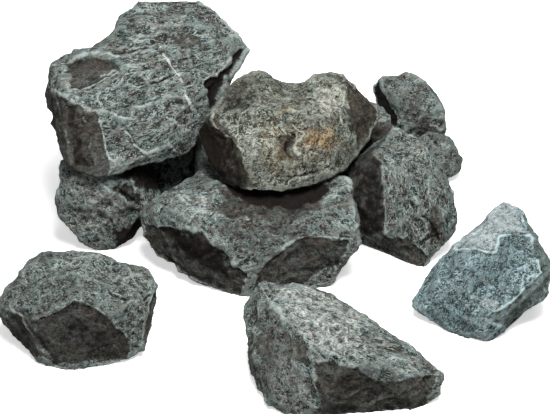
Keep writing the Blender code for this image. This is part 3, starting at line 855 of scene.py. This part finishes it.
class HEATER_OT_left_base(StoneOperator, Operator):
    """Build the stone under the left end of the large one."""
    bl_idname = "heater.left_base"
    bl_label = "Left base stone"
    node = "left_base_stone"
    seed = 11
    layers = (0.5, 1.5)
    areas = (
        # Painted shade: the brown face under the large stone, and the two dark areas below under its
        # overhang.
        ("brown", 0.9, 0.003, 0.002, ((0.4, 1), (3, -1), (6.4, -0.4), (5, 3), (1, 3))),
        ("ochre", 0.4, 0, 0.004, ((-9, 7), (-4, 6), (-4, 1), (-9, 2))),
        ("pale", 0.38, 0, 0.007, ((-8, 6), (0, 3), (4, -3), (2, -7), (-4, -8), (-8, -2))),
        ("dark", 0.9, 0, 0.005, ((0.5, -6), (8, -4), (8, -9), (0.5, -10))),
        ("dark", 0.7, 0, 0.004, ((0, 8), (10, 6), (10, 1), (6, 2), (2, 5))),
    )
    lines = (
        ("line", 0.8, -0.0008, 0.001, ((-5.3, 5.5), (0.5, 1), (3.6, -1.3), (6, -0.4))),
    )


class HEATER_OT_upright_base(StoneOperator, Operator):
    """Build the tall-faced stone at the right of the heap."""
    bl_idname = "heater.upright_base"
    bl_label = "Upright base stone"
    node = "upright_base_stone"
    seed = 13
    roughness = 0.75
    layers = (1.5, 2.0)
    left_ridge = ((-5, 6.5), (-3.6, 5), (-3.4, -1.6), (-3.2, -5))
    areas = (
        # Painted shade: the brown and dark areas on the left face, turned from the light.
        ("brown", 1, 0, 0.002, ((-1.8, 10.4), *left_ridge, (-7, -6), (-12, 0), (-12, 12))),
        ("dark", 0.55, 0, 0.003, ((-12, 12), (-3, 11), (-5.4, 6.6), (-6, 3), (-12, 2))),
        ("dark", 0.6, 0.0005, 0.004, (*left_ridge, (-7, -6), (-10, 0))),
        ("brown", 1, 0.0008, 0.002, ((-3.2, -5), (1.8, -6.2), (4.5, -8.6), (3, -10.5), (-4, -8))),
        ("brown", 0.7, 0, 0.004, ((4.6, -1), (7, -1), (7.4, -7), (4, -6))),
        ("pale", 0.5, 0, 0.002, ((-8, 0.4), (-6.2, 0.2), (-6.4, -2), (-7.8, -1.6))),
    )
    lines = (
        ("dark", 1, 0.0014, 0.0014, ((3.6, -2.7), (5, -3.6), (6.4, -5.9))),
        ("dark", 0.8, 0.001, 0.0011, ((3.2, -6.8), (4.4, -5.4), (6, -5.6))),
        ("line", 0.55, -0.0006, 0.001,
         ((-5.2, 6.4), (-3.6, 5), (-3.4, -1.6), (-3.2, -5), (1.8, -6.2), (4.5, -8.6))),
        ("line", 0.5, -0.0005, 0.001, ((5, 6.4), (4.5, 0.5), (7, -6.5))),
    )


class HEATER_OT_back_right(StoneOperator, Operator):
    """Build the stone behind the upright one."""
    bl_idname = "heater.back_right"
    bl_label = "Back right stone"
    node = "back_right_stone"
    seed = 17
    areas = (
        # Painted shade: the dark area on the left face.
        ("dark", 1, 0.002, 0.0015,
         ((-12, 9), (-8.6, 8), (-6, 3), (-4, 0.4), (-4.6, -1), (-7, 0.6), (-12, 4))),
        ("brown", 0.5, 0, 0.01, ((-4, 9), (4, 8), (8, 0), (2, -4), (-3, 0))),
        ("brown", 0.9, 0, 0.002, ((2, -1), (8, -1.5), (8, -5), (2, -5))),
    )


class HEATER_OT_small_back(StoneOperator, Operator):
    """Build the small speckled stone at the right."""
    bl_idname = "heater.small_back"
    bl_label = "Small back stone"
    node = "small_back_stone"
    seed = 19
    colours = "dark"
    roughness = 0.7
    grain_scale = 300.0
    carves = (
        ((0, 1), 0.0045, 0.005, ((-2, 13), (13, 13), (13, 5), (-2, 5))),
    )


class HEATER_OT_front_left(StoneOperator, Operator):
    """Build the stone that lies apart at the front left."""
    bl_idname = "heater.front_left"
    bl_label = "Front left stone"
    node = "front_left_stone"
    seed = 23
    colours = "dark"
    ridge = ((-5.6, -1.9), (-2.4, 0), (-0.3, 1.8), (2.3, 0.6), (6.5, -4.8))
    areas = (
        # Painted shade, in part: the brown and dark areas on the front face below the ridge.
        ("brown", 1, 0.0008, 0.002, (*ridge, (6, -8), (-3, -9))),
        ("dark", 0.4, 0, 0.005, ((-4, -2), (0, 0), (5, -4), (4, -7), (-2, -7))),
        ("ochre", 0.34, 0, 0.01, ((0, 9), (8, 7), (9, 2), (3, 4))),
        ("brown", 0.42, 0, 0.012, ((-6, 6), (4, 8), (8, 4), (4, 1), (-4, 2))),
        ("ochre", 0.4, 0, 0.006, ((-10, 4), (-8, 2), (-8, -2), (-11, 0))),
        ("brown", 0.7, 0.0005, 0.002, ((-8, 1), (-5.7, -0.2), (-3, -8.5), (-9, -5))),
        ("brown", 0.8, 0.0004, 0.002, ((9.2, 3), (7.8, -5.8), (10, -5), (10.5, 2))),
    )
    lines = (
        ("line", 0.7, -0.0008, 0.001, ridge),
        ("line", 0.8, -0.0006, 0.001, ((-8.1, 1), (-3, -8.5))),
        ("line", 0.7, -0.0005, 0.001, ((9.2, 3), (7.8, -5.8))),
        ("dark", 0.8, 0.001, 0.0009, ((3.8, 3.2), (6, 1.6))),
        ("line", 0.6, -0.0005, 0.001, ((0.2, 6.4), (2.5, 4.6), (5.1, 2.7))),
        ("pale", 0.8, 0, 0.0022, ((-6, -8.8), (-1, -10), (4, -9), (7, -7.4))),
    )


class HEATER_OT_front_centre(StoneOperator, Operator):
    """Build the long wedge that lies apart at the front."""
    bl_idname = "heater.front_centre"
    bl_label = "Front centre stone"
    node = "front_centre_stone"
    seed = 29
    layers = (0.5, 2.2)
    left_ridge = ((-8.4, 9.8), (-6.4, 5.4), (-3.4, 1.5), (-2.6, -6.6))
    right_ridge = ((-2.8, -1.5), (0.3, -2.1), (3.9, -4.7), (9.3, -3.5))
    areas = (
        ("pale", 0.42, 0, 0.008, ((-8, 10), (-1, 9), (3, 4), (1, -1), (-3, 0), (-6, 5))),
        # Painted shade: the dark area on the left face; the brown area on the lower right face is partly
        # so.
        ("dark", 0.35, 0.0006, 0.003, (*left_ridge, (-5, -11), (-10, -4), (-10, 7))),
        ("pale", 0.36, 0, 0.006, ((-9, 8), (-6, 5), (-4, 1), (-3, -6), (-6, -9), (-9, -2))),
        ("brown", 0.9, 0.0006, 0.002, (*right_ridge, (8, -9.5), (0, -10), (-2.6, -9))),
        ("brown", 0.8, 0, 0.006, ((-6, 3), (-3.6, 1), (-3.4, -3), (-6, -1))),
        ("brown", 0.7, 0, 0.006, ((-9, 3), (-7, 2), (-6, -3), (-9, -1))),
        ("pale", 0.45, 0, 0.004, ((-7, -3), (-4, -3.4), (-3.6, -6), (-6.4, -6.4))),
    )
    lines = (
        ("line", 0.5, -0.0008, 0.0016, left_ridge),
        ("line", 0.5, -0.0006, 0.0016, right_ridge),
    )


class HEATER_OT_front_right(StoneOperator, Operator):
    """Build the blue-green stone with a pale cap."""
    bl_idname = "heater.front_right"
    bl_label = "Front right stone"
    node = "front_right_stone"
    seed = 31
    colours = "blue"
    roughness = 0.85
    grain_scale = 270.0
    layers = (-0.6, 1.5)
    areas = (
        ("pale", 0.55, 0, 0.004,
         ((-5, 2.6), (1.9, 2.4), (2.5, 5), (6.6, 5), (5, 10), (1, 11), (-4, 6))),
        # The brown area on the right face is partly painted shade.
        ("brown", 0.7, 0.0006, 0.002,
         ((5.8, 8), (8.2, -0.4), (4, -4.6), (0, -6.6), (4, -8), (10, -1), (10, 4))),
        ("pale", 0.6, 0, 0.002, ((-0.8, -4), (2.4, -4), (2.2, -5.6), (-0.6, -5.6))),
    )
    lines = (
        ("line", 0.9, -0.0008, 0.001, ((-5.4, 3), (1.9, 2.6), (2.5, 5), (6.6, 4.9))),
        ("line", 0.7, -0.0006, 0.001, ((5.8, 8), (8.2, -0.4), (3.9, -4.6), (0.2, -6.6))),
    )


class HEATER_OT_rear_left_base(StoneOperator, Operator):
    """Build the hidden stone at the back left."""
    bl_idname = "heater.rear_left_base"
    bl_label = "Rear left base stone"
    node = "rear_left_base_stone"
    seed = 37
    colours = "dark"
    roughness = 2.2
    carves = (
        ((1, -1), 0.01, 0.008, ((-13, 13), (-3, 13), (-7, 4), (-13, 2))),
        ((0.4, 1), 0.006, 0.008, ((-13, -4), (-5, -5), (-3, -13), (-13, -13))),
    )


class HEATER_OT_rear_middle_base(StoneOperator, Operator):
    """Build the hidden stone at the middle of the back."""
    bl_idname = "heater.rear_middle_base"
    bl_label = "Rear middle base stone"
    node = "rear_middle_base_stone"
    seed = 41
    colours = "dark"
    roughness = 2.2
    carves = (
        ((-1, -1), 0.008, 0.007, ((13, 13), (3, 13), (6, 5), (13, 3))),
    )


class HEATER_OT_rear_right_base(StoneOperator, Operator):
    """Build the hidden stone at the back right."""
    bl_idname = "heater.rear_right_base"
    bl_label = "Rear right base stone"
    node = "rear_right_base_stone"
    seed = 43
    roughness = 2.2
    carves = (
        ((1, -0.7), 0.007, 0.007, ((-13, 13), (-5, 13), (-8, 4), (-13, 4))),
        ((-1, 0.4), 0.008, 0.008, ((13, -2), (6, -4), (4, -13), (13, -13))),
    )
    areas = (
        # Painted shade on the hidden stone: the brown and dark areas.
        ("brown", 1, 0.001, 0.003, ((1, 9), (6, 6.6), (11, 6), (11, -4), (1, -4))),
        ("dark", 0.55, 0, 0.005, ((1, 9), (5, 6), (11, 4), (11, -4), (1, -4))),
    )


# ---- the stage
def area_light(name, power, size, place, target):
    """A soft square light that looks at the target."""
    light = bpy.data.lights.new(name, "AREA")
    light.shape = "SQUARE"
    light.size = size
    light.energy = power
    lamp = bpy.data.objects.new(name, light)
    bpy.context.scene.collection.objects.link(lamp)
    lamp.location = place
    away = lamp.location - target
    lamp.rotation_euler = away.to_track_quat("Z", "Y").to_euler()


class HEATER_OT_stage(Operator):
    """Add the pale floor, the soft lights and the camera."""
    bl_idname = "heater.stage"
    bl_label = "Stage"
    bl_options = {"REGISTER", "UNDO"}

    def execute(self, context):
        stage = context.scene.heater_stage
        bpy.ops.object.select_all(action="DESELECT")
        bpy.ops.mesh.primitive_plane_add(size=FLOOR_SIZE, location=(0.0, 0.0, 0.0))
        floor = context.object
        floor.name = "floor"
        paint = bpy.data.materials.new("floor_paint")
        paint.use_nodes = True
        tree = paint.node_tree
        shader = tree.nodes["Principled BSDF"]
        shader.inputs["Roughness"].default_value = 0.95
        shader.inputs["Specular IOR Level"].default_value = 0.1
        seen = add_node(tree, "ShaderNodeLightPath").outputs["Is Camera Ray"]
        tint = mixed(tree, seen, stage.floor_bounce, stage.floor_colour)
        tree.links.new(tint, shader.inputs["Base Color"])
        shader.inputs["Emission Color"].default_value = rgba(stage.floor_colour)
        glow = times(tree, seen, stage.floor_glow)
        tree.links.new(glow, shader.inputs["Emission Strength"])
        floor.data.materials.append(paint)

        world = bpy.data.worlds.new("soft_sky")
        world.use_nodes = True
        background = world.node_tree.nodes["Background"]
        background.inputs["Color"].default_value = (1.0, 1.0, 1.0, 1.0)
        background.inputs["Strength"].default_value = stage.sky_strength
        context.scene.world = world

        lowest, highest = CAD_BOX
        height = highest[2] - lowest[2]
        middle = Vector((0.0, TARGET_DEPTH, height * TARGET_RISE))
        area_light("key_light", stage.key_power, size=0.6, place=(0.15, -0.55, 1.4), target=middle)
        area_light("fill_light", stage.fill_power, size=1.2, place=(-0.9, -1.4, 1.0), target=middle)
        area_light("back_light", stage.back_power, size=1.2, place=(0.5, 1.3, 0.9), target=middle)

        camera = bpy.data.cameras.new("camera")
        camera.sensor_width = SENSOR_WIDTH
        camera.lens = stage.lens
        camera.clip_end = 60.0
        distance = stage.lens / camera.sensor_width * stage.view_width
        view = bpy.data.objects.new("camera", camera)
        context.scene.collection.objects.link(view)
        away = Vector((0.0, -math.cos(stage.rise), math.sin(stage.rise)))
        view.location = middle + away * distance
        view.rotation_euler = away.to_track_quat("Z", "Y").to_euler()
        context.scene.camera = view
        context.scene.view_settings.view_transform = "Standard"
        context.scene.view_settings.look = "None"
        return {"FINISHED"}


class HEATER_PT_panel(Panel):
    """The sidebar panel with every size, colour and step."""
    bl_label = "Heater stones"
    bl_idname = "HEATER_PT_panel"
    bl_space_type = "VIEW_3D"
    bl_region_type = "UI"
    bl_category = "Stones"

    def draw(self, context):
        for name in SETTINGS:
            box = self.layout.box()
            group = getattr(context.scene, name)
            for key in group.bl_rna.properties.keys():
                if key not in ("rna_type", "name"):
                    box.prop(group, key)
        for step in STEPS:
            self.layout.operator(step.bl_idname)


SETTINGS = {
    "heater_rock": RockProperties,
    "heater_green": GreenRockColours,
    "heater_dark": DarkRockColours,
    "heater_ochre": OchreRockColours,
    "heater_blue": BlueRockColours,
    "heater_stage": StageProperties,
}
STEPS = (HEATER_OT_stage, *StoneOperator.__subclasses__())


def register():
    """Register the classes and put each group of settings on the scene."""
    for group in (*SETTINGS.values(), *STEPS, HEATER_PT_panel):
        bpy.utils.register_class(group)
    for name, group in SETTINGS.items():
        setattr(bpy.types.Scene, name, PointerProperty(type=group))


def unregister():
    """Take back what register did."""
    for name in SETTINGS:
        delattr(bpy.types.Scene, name)
    for group in reversed((*SETTINGS.values(), *STEPS, HEATER_PT_panel)):
        bpy.utils.unregister_class(group)


def main():
    """Build the heap and the stage."""
    register()
    for make_group in (mineral_grain_group, hackle_group, wear_highlight_and_shade_group, patchy_mark_group):
        make_group()
    for step in STEPS:
        category, name = step.bl_idname.split(".")
        getattr(getattr(bpy.ops, category), name)()


if __name__ == "__main__":
    main()
